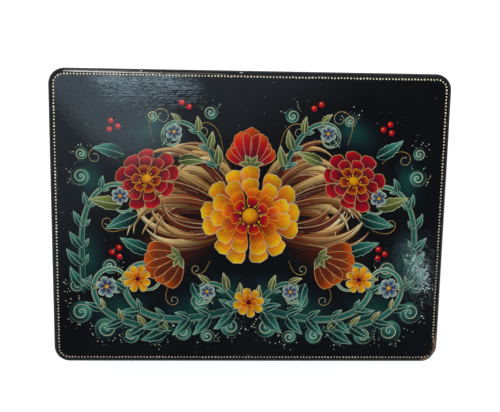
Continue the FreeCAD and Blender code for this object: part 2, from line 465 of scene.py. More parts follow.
def ring(half_width, half_depth, radius):
    """Points round a rounded rectangle, anticlockwise from above, always as many and in the same order."""
    arcs = []
    for side_x, side_y, start in ((1, -1, -90), (1, 1, 0), (-1, 1, 90), (-1, -1, 180)):
        middle = np.array([side_x * (half_width - radius), side_y * (half_depth - radius)])
        angle = np.radians(start + np.linspace(0, 90, corner_steps + 1))
        arcs.append(middle + radius * np.column_stack([np.cos(angle), np.sin(angle)]))
    points = []
    for place, arc in enumerate(arcs):
        following = arcs[(place + 1) % 4][0]
        steps = long_steps if place % 2 else short_steps
        shares = np.linspace(0, 1, steps + 1)[1:-1, None]
        points += [arc, arc[-1] + (following - arc[-1]) * shares]
    return np.vstack(points)


def raised(points, height):
    """Give flat points a height, which is a number or one number for each."""
    return np.column_stack([points, np.broadcast_to(height, len(points))])


def new_piece(name, vertices, faces, materials, kinds=None, sharp_degrees=32):
    """A smooth mesh object at the origin, its faces turned outwards and its creases marked."""
    mesh = bpy.data.meshes.new(name)
    mesh.from_pydata([tuple(v) for v in vertices], [], faces)
    for material in materials:
        mesh.materials.append(material)
    if kinds is not None:
        mesh.polygons.foreach_set("material_index", kinds)
    shape = bmesh.new()
    shape.from_mesh(mesh)
    bmesh.ops.recalc_face_normals(shape, faces=shape.faces)
    for face in shape.faces:
        face.smooth = True
    for edge in shape.edges:
        edge.smooth = edge.calc_face_angle(0) < math.radians(sharp_degrees)
    shape.to_mesh(mesh)
    shape.free()
    piece = bpy.data.objects.new(name, mesh)
    scene.collection.objects.link(piece)
    return piece


def ringed_piece(name, rings, materials, ring_kinds):
    """Join rings from the middle of the underside, over the edge, to the middle of the top."""
    count = len(rings[0])
    first_pole = rings[0].mean(axis=0)
    last_pole = rings[-1].mean(axis=0)
    vertices = np.vstack([*rings, first_pole, last_pole])
    faces = []
    kinds = []
    for level in range(len(rings) - 1):
        low, high = level * count, (level + 1) * count
        for place in range(count):
            after = (place + 1) % count
            faces.append((low + place, low + after, high + after, high + place))
            kinds.append(ring_kinds[level])
    last = (len(rings) - 1) * count
    for place in range(count):
        after = (place + 1) % count
        faces.append((len(vertices) - 2, after, place))
        kinds.append(ring_kinds[0])
        faces.append((len(vertices) - 1, last + place, last + after))
        kinds.append(ring_kinds[-1])
    return new_piece(name, vertices, faces, materials, kinds)


def rolled_profile(radius, top, steps=10):
    """Inset and height along an edge that is rolled over from upright to level."""
    angles = np.radians(np.linspace(0, 90, steps + 1))
    return [(radius * (1 - math.cos(a)), top - radius * (1 - math.sin(a))) for a in angles]


def inset_ring(half_size, inset, height):
    """A ring of a board's outline, drawn in by an inset."""
    return raised(ring(half_size[0] - inset, half_size[1] - inset, corner_radius - inset), height)


# %% The lid board
lid_half = (lid_high.x, lid_high.y)

# The red vault underneath, from its middle outwards
vault_shares = np.linspace(0.06, 1, 14)
vault_outline = ring(*vault_half, inner_corner_radius)
rings = []
for share in vault_shares:
    points = vault_outline * share
    across = 1 - (points[:, 0] / vault_half[0]) ** 2
    along = 1 - (points[:, 1] / vault_half[1]) ** 2
    rings.append(raised(points, lid_low.z + crown_rise * across * along))
kinds = [1] * (len(rings) - 1) + [0]

# The eased lower edge, the upright side and the roll
rings.append(inset_ring(lid_half, lid_under_ease, lid_low.z))
rings.append(inset_ring(lid_half, 0, lid_low.z + lid_under_ease))
rings += [inset_ring(lid_half, inset, z) for inset, z in rolled_profile(lid_roll, edge_z)]

# The crowned field, from the roll to its middle
field_outline = ring(*field_half, corner_radius - lid_roll)
field_shares = [0.997, 0.99, 0.98, 0.965, *np.linspace(0.94, 0.04, 26)]
for share in field_shares:
    points = field_outline * share
    rings.append(raised(points, lid_top(points[:, 0], points[:, 1])))
kinds += [0] * (len(rings) - 1 - len(kinds))
lid_board = ringed_piece("lid_board", rings, [black_lacquer, red_lacquer], kinds)

# %% Wear along the lid's edge
# Where hands and shelves have rubbed the edge: X, Y and reach in millimetres, and how much
worn_places = ((97.5, -68.0, 12.0, 1.0), (-98.5, -72.5, 7.0, 0.55), (-35.0, 75.0, 12.0, 0.24),
               (99.0, 40.0, 18.0, 0.25), (40.0, -75.0, 12.0, 0.25), (-99.0, 70.0, 8.0, 0.30),
               (98.0, 72.0, 7.0, 0.35))
dent_place, dent_reach, dent_depth = Vector((98.6, -71.5)) * mm, 9.0 * mm, 0.55 * mm

# How far in and how far down the wear of an edge reaches
edge_reach, edge_depth = 1.3 * lid_roll, 1.4 * lid_roll

# How strong the rubbing is, the share of it that the flat gets, and the trace that the whole edge has
rub_strength, flat_share, handled_share = 1.9, 0.35, 0.12


def wear_edge(piece, places, top):
    """Store how worn each point of a rolled edge is, and press the worst corner in a little."""
    wear = []
    for point in piece.data.vertices:
        spot_place = point.co.xy
        inset = min(lid_half[0] - abs(spot_place.x), lid_half[1] - abs(spot_place.y))
        edge = max(0.0, 1 - inset / edge_reach) * (point.co.z > top - edge_depth)
        rubbing = max(share * max(0.0, 1 - (spot_place - Vector((x, y)) * mm).length / (reach * mm))
                      for x, y, reach, share in places)
        rubbed_off = min(1.0, rub_strength * rubbing) * (flat_share + (1 - flat_share) * edge)
        wear.append(rubbed_off + handled_share * edge)
        pressed = max(0.0, 1 - (spot_place - dent_place).length / dent_reach) ** 2
        point.co.xy -= spot_place.normalized() * pressed * dent_depth
    piece.data.attributes.new("wear", "FLOAT", "POINT").data.foreach_set("value", wear)


wear_edge(lid_board, worn_places, edge_z)
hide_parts("lid_panel")
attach(lid_board, "lid")
print("lid board:", len(lid_board.data.polygons), "faces")

# %% The bottom board
base_half = (base_high.x, base_high.y)
floor_half = (liner_high.x, liner_high.y)
floor_outline = ring(*floor_half, inner_corner_radius)

# The underside and its edge are black, and the floor inside is red
rings = [raised(ring(*base_half, corner_radius) * share, 0) for share in (0.1, 0.4, 0.7, 0.9)]
rings.append(inset_ring(base_half, base_under_ease, 0))
rings.append(inset_ring(base_half, 0, base_under_ease))
rings += [inset_ring(base_half, inset, z) for inset, z in rolled_profile(base_roll, base_high.z)]
kinds = [0] * len(rings)
rings += [raised(floor_outline * share, base_high.z) for share in (1, 0.9, 0.7, 0.4, 0.1)]
kinds += [1] * (len(rings) - 1 - len(kinds))
base_board = ringed_piece("base_board", rings, [black_lacquer, red_lacquer], kinds)
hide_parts("base_plate")
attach(base_board, "box")
print("bottom board:", len(base_board.data.polygons), "faces")

# %% [markdown]
# ## Patterns that grow from nodes
#
# Dots, rivets and brush lines repeat hundreds of times, so Geometry Nodes make them. A tree is built
# here with named inputs, run once on a start mesh, and what it makes is kept as a plain mesh. That way
# the pattern stays easy to change, and the finished piece is ordinary geometry.

# %% Helpers for Geometry Nodes
def pattern(name, sockets):
    """An empty Geometry Nodes tree with a start mesh and the named inputs. Returns it and its inputs."""
    tree = bpy.data.node_groups.new(name, "GeometryNodeTree")
    tree.interface.new_socket("Geometry", in_out="OUTPUT", socket_type="NodeSocketGeometry")
    tree.interface.new_socket("Start", in_out="INPUT", socket_type="NodeSocketGeometry")
    for socket_name, kind in sockets.items():
        tree.interface.new_socket(socket_name, in_out="INPUT", socket_type="NodeSocket" + kind)
    return tree, tree.nodes.new("NodeGroupInput").outputs


def step(tree, kind, inputs=None, **settings):
    """Add one step of a pattern and give back its first output."""
    return add(tree, kind, inputs, **settings).outputs[0]


def close_pattern(tree, geometry, material):
    """Realize what the tree made, shade it smooth, give it its material and send it out."""
    realized = step(tree, "GeometryNodeRealizeInstances", {0: geometry})
    smooth = step(tree, "GeometryNodeSetShadeSmooth", {0: realized})
    finished = step(tree, "GeometryNodeSetMaterial", {"Geometry": smooth, "Material": material})
    out = tree.nodes.new("NodeGroupOutput")
    tree.links.new(finished, out.inputs[0])


def grow(name, tree, values, start=None):
    """Run a pattern on a start mesh and keep the result as a plain piece at the origin."""
    bed = bpy.data.objects.new(name, start or bpy.data.meshes.new(name))
    scene.collection.objects.link(bed)
    modifier = bed.modifiers.new("pattern", "NODES")
    modifier.node_group = tree
    for socket in tree.interface.items_tree:
        if socket.in_out == "INPUT" and socket.name in values:
            modifier[socket.identifier] = values[socket.name]
    grown = bed.evaluated_get(bpy.context.evaluated_depsgraph_get())
    mesh = bpy.data.meshes.new_from_object(grown)
    bpy.data.objects.remove(bed)
    piece = bpy.data.objects.new(name, mesh)
    scene.collection.objects.link(piece)
    return piece


def lid_top_socket(tree, place):
    """The formula of the crowned lid as nodes: the height over a place on it."""
    parts = add(tree, "ShaderNodeSeparateXYZ", {0: place})
    shares = []
    for axis, half in enumerate(field_half):
        share = calc(tree, "DIVIDE", parts.outputs[axis], float(half))
        share = calc(tree, "SUBTRACT", 1.0, product(tree, share, share), clamp=True)
        shares.append(share)
    return total(tree, product(tree, *shares, crown_rise), edge_z)


def random_between(tree, low, high, seed):
    """A random number between two limits for each point, as a socket."""
    return add(tree, "FunctionNodeRandomValue", {2: low, 3: high, "Seed": seed},
               data_type="FLOAT").outputs[1]


# %% [markdown]
# ## The gold border
#
# A single row of gold dots runs round the lid, just where the rolled edge ends. Each is set by hand
# with a fine brush: first an amber spot, then a smaller one of pale gold. So the dots differ a little
# in place and size, those towards the front right are painted darker as painted shade, and at the worn
# corner they are gone. The path is a rounded rectangle, its points are spaced by length, and two runs
# of one tree with the same seed put pale gold over amber.

# %% Metal paints
# The direction of the painted shade on the gold, where along it that starts and ends, and how strong it is
painted_shade_side = (0.25, -0.75, 0.0)
painted_shade_from, painted_shade_to, painted_shade_share = -0.035, 0.045, 0.85


def metal_paint(name, dark, light, shade_colour, rough, metallic):
    """Gold paint that varies from dot to dot by the attribute tone, with painted shade towards the front
    right.
    """
    material, tree, shader = finish_named(name)
    tone = add(tree, "ShaderNodeAttribute", attribute_name="tone").outputs["Fac"]
    grain = calc(tree, "SUBTRACT", noise(tree, (2500, 2500, 2500), 2.0), 0.5)
    share = calc(tree, "ADD", tone, product(tree, grain, 0.5), clamp=True)
    # Painted shade: towards the front right the gold is mixed towards a darker colour
    forward = vector(tree, "DOT_PRODUCT", on_object(tree), painted_shade_side)
    painted_shade = product(tree, ramp(tree, forward, painted_shade_from, painted_shade_to), painted_shade_share)
    varied = tinted(tree, painted_shade, tinted(tree, share, dark, light), shade_colour)
    tree.links.new(varied, shader.inputs["Base Color"])
    shader.inputs["Metallic"].default_value = metallic
    shader.inputs["Roughness"].default_value = rough
    shader.inputs["Coat Weight"].default_value = 0.6
    shader.inputs["Coat Roughness"].default_value = 0.08
    return material


# The third colour of each gold is the painted shade towards the front right
pale_gold = metal_paint("pale_gold_paint", colour(252, 244, 196), colour(255, 254, 234),
                        colour(184, 175, 152), rough=0.5, metallic=0.0)
amber_gold = metal_paint("amber_gold_paint", colour(96, 62, 18), colour(156, 112, 44),
                         colour(70, 56, 38), rough=0.5, metallic=0.3)
print("gold paints:", pale_gold.name, "over", amber_gold.name)

# %% The dot tree
border_inset = 2.91 * mm
dot_pitch = 1.6 * mm
dot_segments, dot_rings = 8, 5

tree, given = pattern("border_dots", {
    "Width": "Float", "Depth": "Float", "Corner": "Float", "Pitch": "Float", "Radius": "Float",
    "Flatness": "Float", "Stray": "Float", "Worn Place": "Vector", "Worn Reach": "Float", "Seed": "Int",
    "Material": "Material"})
path = step(tree, "GeometryNodeCurvePrimitiveQuadrilateral", {"Width": given["Width"],
                                                              "Height": given["Depth"]})
path = step(tree, "GeometryNodeFilletCurve", {"Curve": path, "Count": corner_steps,
                                              "Radius": given["Corner"]}, mode="POLY")
path = step(tree, "GeometryNodeResampleCurve", {"Curve": path, "Length": given["Pitch"]}, mode="LENGTH")

# Each point strays a little, and then drops onto the lid
stray = step(tree, "FunctionNodeRandomValue", {0: (-1, -1, 0), 1: (1, 1, 0), "Seed": given["Seed"]},
             data_type="FLOAT_VECTOR")
stray = step(tree, "ShaderNodeVectorMath", {0: stray, "Scale": given["Stray"]}, operation="SCALE")
path = step(tree, "GeometryNodeSetPosition", {"Geometry": path, "Offset": stray})
place = step(tree, "GeometryNodeInputPosition")
flat = add(tree, "ShaderNodeSeparateXYZ", {0: place}).outputs
draped = step(tree, "ShaderNodeCombineXYZ", {0: flat[0], 1: flat[1], 2: lid_top_socket(tree, place)})
path = step(tree, "GeometryNodeSetPosition", {"Geometry": path, "Position": draped})

# Round the worn corner the points go, farther out for some than for others
from_worn = vector(tree, "DISTANCE", place, given["Worn Place"])
luck = random_between(tree, 0.55, 1.25, given["Seed"])
gone = calc(tree, "LESS_THAN", from_worn, product(tree, given["Worn Reach"], luck))
path = step(tree, "GeometryNodeDeleteGeometry", {"Geometry": path, "Selection": gone}, domain="POINT")

# A low dot on each point that is left, with a size and a tone of its own
dot = step(tree, "GeometryNodeMeshUVSphere", {"Segments": dot_segments, "Rings": dot_rings,
                                              "Radius": given["Radius"]})
size = random_between(tree, 0.86, 1.10, given["Seed"])
size = step(tree, "ShaderNodeCombineXYZ", {0: size, 1: size, 2: given["Flatness"]})
dots = step(tree, "GeometryNodeInstanceOnPoints", {"Points": path, "Instance": dot, "Scale": size})
tone = random_between(tree, 0.25, 1.0, given["Seed"])
dots = step(tree, "GeometryNodeStoreNamedAttribute", {"Geometry": dots, "Name": "tone", "Value": tone},
            data_type="FLOAT", domain="INSTANCE")
close_pattern(tree, dots, given["Material"])
border_tree = tree
print("dot tree:", len(tree.nodes), "nodes")

# %% Run the border twice
border_values = {
    "Width": float(2 * (lid_half[0] - border_inset)), "Depth": float(2 * (lid_half[1] - border_inset)),
    "Corner": corner_radius - border_inset, "Pitch": dot_pitch, "Stray": 0.09 * mm, "Seed": 7,
    "Worn Place": (96.0 * mm, -66.5 * mm, edge_z), "Worn Reach": 6.0 * mm}
for name, radius, flatness, gold_paint in (("border_amber", 0.59, 0.10, amber_gold),
                                           ("border_gold", 0.45, 0.24, pale_gold)):
    own = {"Radius": radius * mm, "Flatness": flatness, "Material": gold_paint}
    border = grow(name, border_tree, border_values | own)
    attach(border, "lid")
    print(name, len(border.data.polygons) // (dot_segments * dot_rings), "dots")

# %% [markdown]
# ## The miniature, as layers of paint
#
# A miniature on black lacquer is built from thin washes, laid from dark to light, and finished with
# hair-fine lines and dots of light paint. An image would give the colours but no layers, so each
# wash here is a sheet of paint a fraction of a millimetre thick, lying on the crowned lid. Its
# colour is stored on its points, and a petal or a leaf shades from base to tip as a loaded brush does.
# The design is a plain garden bouquet with a garland of rolled fronds, made from the motifs below.

# %% Paint colours
palette = {
    "ink": (8, 8, 11), "black": (9, 14, 17), "night": (14, 30, 36), "pine": (18, 54, 50),
    "teal_deep": (24, 74, 68), "teal": (46, 114, 100), "sea": (92, 158, 138), "mist": (176, 214, 188),
    "moss": (52, 66, 34), "olive": (104, 112, 52), "leaf": (128, 148, 84),
    "cream": (240, 230, 186), "white": (250, 248, 238), "gold": (224, 184, 92), "yellow": (255, 206, 66),
    "orange": (250, 152, 18), "flame": (228, 92, 26), "crimson": (214, 28, 42), "wine": (118, 18, 36),
    "plum": (62, 12, 30), "rust": (30, 14, 12), "chestnut": (126, 54, 32), "umber": (62, 26, 18),
    "tan": (184, 134, 78), "sand": (232, 192, 126), "ochre": (142, 104, 52),
    "navy": (24, 32, 66), "slate": (66, 84, 116)}
paints = {name: colour(*values) for name, values in palette.items()}
print(len(paints), "paints")


def blend(names, shares):
    """Colours along a row of paints, at shares from 0 to 1 of its length."""
    row = np.array([paints[name][:3] for name in names])
    stops = np.linspace(0, 1, len(row))
    return np.stack([np.interp(shares, stops, row[:, channel]) for channel in range(3)], axis=-1)


# %% The canvas
def toward(angle):
    """A step of one millimetre at an angle in degrees."""
    return np.array([math.cos(math.radians(angle)), math.sin(math.radians(angle))])


class Canvas:
    """Collects washes, lines and beads in millimetres on the lid, for one side at a time."""

    def __init__(self):
        self.washes, self.lines, self.beads = [], [], []
        self.side = 1
        self.middle = np.zeros(2)
        self.squash = np.eye(2)

    def lean(self, middle, angle, share):
        """From here on, squash what is painted along a direction, about a middle point."""
        self.middle = np.array(middle, float)
        self.squash = np.eye(2) - (1 - share) * np.outer(toward(angle), toward(angle))

    def put(self, points):
        """Where points land once they are squashed and mirrored to this side."""
        points = (np.asarray(points, float) - self.middle) @ self.squash + self.middle
        return points * (self.side, 1)

    def wash(self, grid, shades, level):
        """A filled sheet of paint over a grid of points."""
        self.washes.append((self.put(grid), np.broadcast_to(shades, (*grid.shape[:2], 3)), level))

    def line(self, points, widths, shades, level):
        """A fine line with a half width at each point."""
        shades = np.broadcast_to(shades, (len(points), 3))
        self.lines.append((self.put(points), np.broadcast_to(widths, len(points)), shades, level))

    def bead(self, point, radius, name, level=0.05):
        """A single dot of paint."""
        self.beads.append((self.put(point), radius, blend([name], 0.0), level))


canvas = Canvas()
chance = np.random.default_rng(11)
print("canvas ready, about", round(2 * lid_half[0] / mm), "by", round(2 * lid_half[1] / mm), "mm")


# %% Strokes of the brush
def bent_path(start, heading, length, bend=0.0, late=0.0, steps=12):
    """A path that turns by bend degrees in all. With late above 0 it curls up towards its end."""
    share = np.linspace(0, 1, steps)
    angle = np.radians(heading + bend * share ** (1 + late))
    moves = length / (steps - 1) * np.column_stack([np.cos(angle), np.sin(angle)])
    travelled = np.cumsum((moves[:-1] + moves[1:]) / 2, axis=0)
    return np.asarray(start, float) + np.vstack([[0, 0], travelled]), angle


# How wide a stroke is along its length, from 0 to 1
def leaf_form(share):
    return np.sin(np.pi * share ** 0.75) ** 1.1


def lobed_form(share):
    return np.sin(np.pi * share ** 0.7) * (0.80 + 0.20 * np.abs(np.cos(4.5 * np.pi * share)))


def petal_form(share):
    return share ** 0.65 * (1 - share ** 5) ** 0.5


def hair_form(share):
    return np.sin(np.pi * share ** 0.55) ** 0.8


def stem_form(share):
    return (1 - share) ** 0.55 * np.minimum(1, share / 0.045) ** 0.5


# How far in millimetres an edge line and a vein lie above their wash, and the least half width of a stroke
edge_lift, vein_lift, least_half = 0.014, 0.012, 0.04


def blade(start, heading, length, width, names, level, bend=0.0, late=0.0, form=leaf_form, lit=0.3,
          steps=9, across=5, edge=None, veins=0, vein="cream", tone=1.0):
    """A petal, leaf or hair: a wash about a bent path, with an edge line and veins where asked.

    lit brightens one side of the stroke and darkens the other. tone darkens or brightens all of it.
    """
    path, angle = bent_path(start, heading, length, bend, late, steps)
    share = np.linspace(0, 1, steps)
    half = np.maximum(width / 2 * form(share), least_half)
    normal = np.column_stack([-np.sin(angle), np.cos(angle)])
    sideways = np.linspace(-1, 1, across)
    grid = path[:, None] + sideways[None, :, None] * (half[:, None] * normal)[:, None]
    shades = blend(names, share)[:, None] * (1 + lit * sideways)[None, :, None] * tone
    canvas.wash(grid, np.clip(shades, 0, 1), level)
    if edge:
        swell = 0.10 + 0.12 * np.sin(np.pi * share)
        for border in (0, -1):
            canvas.line(grid[:, border], swell, blend(edge, share), level + edge_lift)
    for place in np.linspace(-0.62, 0.62, veins):
        drawn = path + place * half[:, None] * normal
        keep = slice(1, steps - 2)
        canvas.line(drawn[keep], 0.13 * (1 - 0.6 * share[keep]), blend([vein], 0.0), level + vein_lift)
    return path, angle


def disc(middle, radius, names, level, lit_angle=120.0, offset=0.45, steps=9):
    """A round wash, shaded from a lit point that lies off its middle."""
    u, v = np.meshgrid(np.linspace(-1, 1, steps), np.linspace(-1, 1, steps))
    unit = np.stack([u * np.sqrt(1 - v ** 2 / 2), v * np.sqrt(1 - u ** 2 / 2)], axis=-1)
    distance = np.linalg.norm(unit - offset * toward(lit_angle), axis=-1) / (1 + offset)
    canvas.wash(np.asarray(middle) + radius * unit, blend(names, distance), level)


def haze(middle, radius, names, level=0.008, stretch=1.0, angle=0.0):
    """A soft dark underpainting that fades into the black, drawn out along an angle."""
    canvas.lean(middle, angle + 90, 1 / stretch)
    disc(middle, radius * stretch ** 0.5, [*names, "black", "ink"], level, offset=0.15, steps=15)
    canvas.lean((0, 0), 0, 1)


# %% [markdown]
# ## Motifs
#
# Each motif is a short function that puts a few strokes together: a blossom is rings of petals, a
# poppy is a fan of them, a frond is a ribbon with leaves that rolls up at its end, a scroll is such a
# rolled end seen from its side, and a plume is a lock of hairs. Their sizes are given in millimetres,
# so one motif serves large and small.

# %% Blossoms
# How far in millimetres a ring of petals lies over the one outside it, and a petal over its neighbour
ring_lift, overlap_lift = 0.046, 0.017

# Above this radius, in millimetres, a blossom gets veins and more stamens
large_radius = 9


def blossom(middle, radius, rings, heart, level, turn=0.0, squash=1.0, squash_angle=90.0):
    """Rings of petals round a heart.

    A ring is a count, its inner and outer share of the radius, and the paints of petal, edge and vein.
    """
    canvas.lean(middle, squash_angle, squash)
    middle = np.asarray(middle, float)
    large = radius > large_radius
    for order, (count, inner, outer, names, edge, vein) in enumerate(rings):
        for petal in range(count):
            angle = turn + 360 * (petal + 0.5 * (order % 2)) / count + chance.uniform(-4, 4)
            reach = (outer - inner) * radius * chance.uniform(0.92, 1.06)
            width = math.pi * radius * (inner + outer) / count * 1.42
            closing = petal == count - 1 and count % 2
            height = level + ring_lift * order + overlap_lift * (2 if closing else petal % 2)
            blade(middle + toward(angle) * inner * radius, angle, reach, width, names, height,
                  bend=chance.uniform(-14, 14), form=petal_form, edge=edge, veins=5 if large else 0,
                  vein=vein, tone=chance.uniform(0.82, 1.08), steps=10, across=7)
    top = level + ring_lift * len(rings) + 0.02
    disc(middle, radius * 0.16, heart, top)
    stamens = 11 if large else 5
    for stamen in range(stamens):
        angle = 360 * stamen / stamens
        canvas.bead(middle + radius * 0.21 * toward(angle), 0.016 * radius + 0.10, "yellow", top)
    canvas.lean((0, 0), 0, 1)


def poppy(base, heading, size, names, edge, level, petals=5, spread=58.0, vein="flame"):
    """A flower seen from the side: a fan of petals above a green cup."""
    angles = np.linspace(-spread, spread, petals)
    for order in np.argsort(-np.abs(angles)):
        angle = angles[order]
        reach = size * (1 - 0.0022 * abs(angle)) * chance.uniform(0.95, 1.05)
        height = level + 0.018 * (petals // 2 - abs(order - petals // 2)) + 0.009 * (order < petals // 2)
        blade(base, heading + angle, reach, size * 0.62, names, height, bend=-0.75 * angle, form=petal_form,
              edge=edge, veins=6, vein=vein, tone=chance.uniform(0.8, 1.08), steps=11, across=7)
    for angle in (-62, -24, 24, 62):
        blade(base, heading + angle, size * 0.34, size * 0.14, ["pine", "olive", "leaf"],
              level + 0.075, bend=angle * 0.5, edge=["leaf", "cream"])


# %% Leaves and rolled fronds
leaf_paints = (("night", "pine", "teal", "sea"), ("night", "pine", "teal"), ("moss", "olive", "leaf"))


def leaf(start, heading, length, level, bend=30.0, kind=0, slim=0.42):
    """A lobed leaf with one lit half, a fine rib and side veins."""
    edge = ["leaf", "cream"] if kind == 2 else ["teal", "mist"]
    width = length * slim
    path, angle = blade(start, heading, length, width, list(leaf_paints[kind]), level, bend=bend,
                        form=lobed_form, lit=0.55, edge=edge, tone=chance.uniform(0.75, 1.15), steps=15)
    canvas.line(path[:-1], 0.15, blend([edge[1]], 0.0), level + 0.013)
    for place in range(3, 12, 2):
        for way in (-1, 1):
            heading_out = math.degrees(angle[place]) + way * 44
            vein, _ = bent_path(path[place], heading_out, width * 0.36, -way * 25, steps=4)
            canvas.line(vein, 0.10, blend([edge[0]], 0.0), level + vein_lift)


def frond(start, heading, length, bend, width, level, leaves, size, late=1.4, kind=0, eye=None):
    """A ribbon that rolls up at its end, with leaves thrown off outside and small ones inside."""
    steps = 56
    path, angle = blade(start, heading, length, width, ["pine", "teal", "sea"], level, bend=bend, late=late,
                        form=stem_form, edge=["teal", "cream"], veins=1, vein="mist", steps=steps)
    outward = -math.copysign(1, bend)
    for order in range(leaves):
        place = int(steps * (0.04 + 0.62 * order / leaves))
        shrink = 1 - 0.5 * order / leaves
        along = math.degrees(angle[place])
        leaf(path[place], along + outward * chance.uniform(40, 52), size * shrink * chance.uniform(0.9, 1.1),
             level + 0.014 + 0.010 * (order % 3), bend=-outward * chance.uniform(8, 36), kind=kind)
        leaf(path[place], along - outward * chance.uniform(40, 54), 0.62 * size * shrink,
             level + 0.010 + 0.010 * (order % 3), bend=outward * chance.uniform(5, 30), kind=(kind + 1) % 3)
    if eye:
        eye(path[-1])


def scroll(middle, radius, level, turn=0.0, hand=1, turns=2.1, names=("sea", "teal", "pine", "night")):
    """A rolled frond seen from its side: a shaded disc with a light spiral drawn on it."""
    disc(middle, radius, names, level, lit_angle=turn + 140, offset=0.5, steps=11)
    share = np.linspace(0, 1, 54)
    for part, shade_names, width in ((0.97, ["teal", "cream", "white"], 0.16),
                                     (0.80, ["pine", "sea"], 0.12)):
        reach = part * radius * (1 - share) ** 0.85 + 0.25
        angle = np.radians(turn) + hand * 2 * math.pi * turns * share
        points = np.asarray(middle) + reach[:, None] * np.column_stack([np.cos(angle), np.sin(angle)])
        widths = width * (0.6 + 0.6 * np.sin(math.pi * share))
        canvas.line(points, widths, blend(shade_names, share), level + 0.016)
    canvas.bead(middle, 0.16 + radius * 0.02, "white", level + 0.02)
    for order in range(int(3.2 * radius)):
        angle = math.radians(turn) + chance.uniform(-1.5, 1.5)
        away = radius + 0.5 + abs(chance.normal(0.3, 1.6))
        point = np.asarray(middle) + away * np.array([math.cos(angle), math.sin(angle)])
        canvas.bead(point, chance.uniform(0.12, 0.30), chance.choice(["white", "mist", "cream"]),
                    level + 0.01)


# %% Plumes, tendrils and berries
def plume(start, heading, length, bend, hairs, spread, level, late=0.9):
    """A lock of tapering hairs that part towards their ends, as on feather grass."""
    steps = 20
    share = np.linspace(0, 1, steps)
    for order in range(hairs):
        place = (order + 0.5) / hairs * 2 - 1
        reach = length * chance.uniform(0.66, 1.0) * (1 - 0.16 * abs(place))
        turn = bend * chance.uniform(0.75, 1.35) + place * 18
        root = np.asarray(start) + 0.03 * length * place * toward(heading + 90)
        height = level + 0.024 * (order % 4)
        names = (["umber", "chestnut", "tan", "sand"], ["umber", "umber", "chestnut", "tan"],
                 ["chestnut", "ochre", "sand", "cream"])[order % 3]
        parted = heading + place * spread + chance.uniform(-3, 3)
        path, angle = blade(root, parted, reach, length * 0.078, names, height, bend=turn, late=late,
                            form=hair_form, steps=steps, lit=0.5, tone=chance.uniform(0.75, 1.1))
        normal = np.column_stack([-np.sin(angle), np.cos(angle)])
        for across, line_names in ((-0.55, ["umber", "chestnut"]), (0.45, ["tan", "cream"])):
            offset = across * length * 0.039 * hair_form(share)
            first = int(chance.integers(1, 7))
            kept = slice(first, -1)
            drawn = (path + offset[:, None] * normal)[kept]
            canvas.line(drawn, 0.24 * (1 - 0.5 * share[kept]), blend(line_names, share[kept]),
                        height + vein_lift)


def tendril(start, heading, length, bend, level, names=("ochre", "gold", "cream"), width=0.17, late=1.4):
    """A single fine line that curls up, with a bead at its tip."""
    steps = 48
    path, _ = bent_path(start, heading, length, bend, late, steps)
    share = np.linspace(0, 1, steps)
    canvas.line(path, width * (1 - 0.55 * share), blend(list(names), share), level)
    canvas.bead(path[-1], 0.26, names[-1], level)


def berry(middle, radius, names, level):
    """A round berry with a light on it."""
    disc(middle, radius, names, level, lit_angle=125, offset=0.4, steps=7)
    canvas.bead(np.asarray(middle) + radius * np.array([-0.3, 0.36]), radius * 0.17, "white", level + 0.01)


# %% [markdown]
# ## The bouquet
#
# One large orange blossom holds the middle, with crimson and chestnut flowers to both sides, plumes
# of feather grass behind, and a garland of leaves and rolled fronds along the foot. The right side is
# painted first, then the left as its mirror image with fresh chances, so the two sides match as a
# painter's would.

# %% The rings of each blossom
orange_rings = [
    (13, 0.50, 1.00, ["wine", "flame", "orange", "yellow"], ["flame", "cream"], "flame"),
    (11, 0.34, 0.80, ["wine", "flame", "orange", "yellow"], ["flame", "cream"], "flame"),
    (9, 0.20, 0.60, ["plum", "crimson", "flame", "orange"], ["crimson", "yellow"], "wine"),
    (7, 0.10, 0.40, ["plum", "wine", "crimson", "flame"], ["wine", "yellow"], "wine")]
crimson_rings = [
    (9, 0.34, 1.00, ["plum", "wine", "crimson"], ["wine", "sand"], "wine"),
    (8, 0.20, 0.74, ["plum", "wine", "crimson"], ["crimson", "sand"], "plum"),
    (6, 0.08, 0.46, ["plum", "wine", "flame"], ["flame", "yellow"], "wine")]
gold_rings = [(8, 0.2, 1.0, ["chestnut", "orange", "yellow"], ["orange", "cream"], "flame"),
              (6, 0.1, 0.55, ["wine", "flame", "orange"], ["flame", "yellow"], "wine")]
blue_rings = [(6, 0.15, 1.0, ["navy", "slate", "mist"], ["slate", "white"], "navy")]
chestnut_petals = ["umber", "chestnut", "chestnut", "flame"]
print("petals in the large blossom:", sum(count for count, *_ in orange_rings))


# The small blossoms that sit in the rolled ends of the fronds
def gold_eye(place):
    blossom(place, 7.2, gold_rings, ["wine", "plum"], 0.24, 20)


def blue_eye(place):
    blossom(place, 5.4, blue_rings, ["yellow", "orange"], 0.22, 10)


def small_eye(place):
    blossom(place, 4.2, blue_rings, ["yellow", "orange"], 0.38, 30)


# %% Where the right side's motifs go
# All in millimetres and degrees. Dark hazes: X, Y, radius, stretch, angle
dark_hazes = ((28, -50, 20, 1.7, -6), (66, -50, 20, 1.5, 8), (82, -22, 15, 1.9, 86),
              (80, 18, 13, 1.7, 92), (52, 44, 14, 1.6, 150), (12, -40, 16, 1.3, 0))

# Warm hazes: X, Y, radius, angle
warm_hazes = ((44, 14, 26, 12), (40, -14, 22, -24))

# Scrolls: X, Y, radius, turn, hand
scrolls = ((10, -56, 5.2, 200, 1), (22, -60, 3.6, 250, -1), (34, -59, 5.0, 70, 1), (47, -61, 3.8, 280, -1),
           (60, -60, 4.8, 30, -1), (74, -57, 5.6, 300, 1), (85, -48, 5.8, 0, -1), (87, -34, 4.4, 20, 1),
           (26, -41, 5.0, 140, 1), (84, 22, 4.6, 40, -1), (84, 34, 3.2, 60, 1), (50, 52, 3.4, 90, -1),
           (20, 54, 3.6, 100, 1), (70, -24, 4.4, 180, 1))

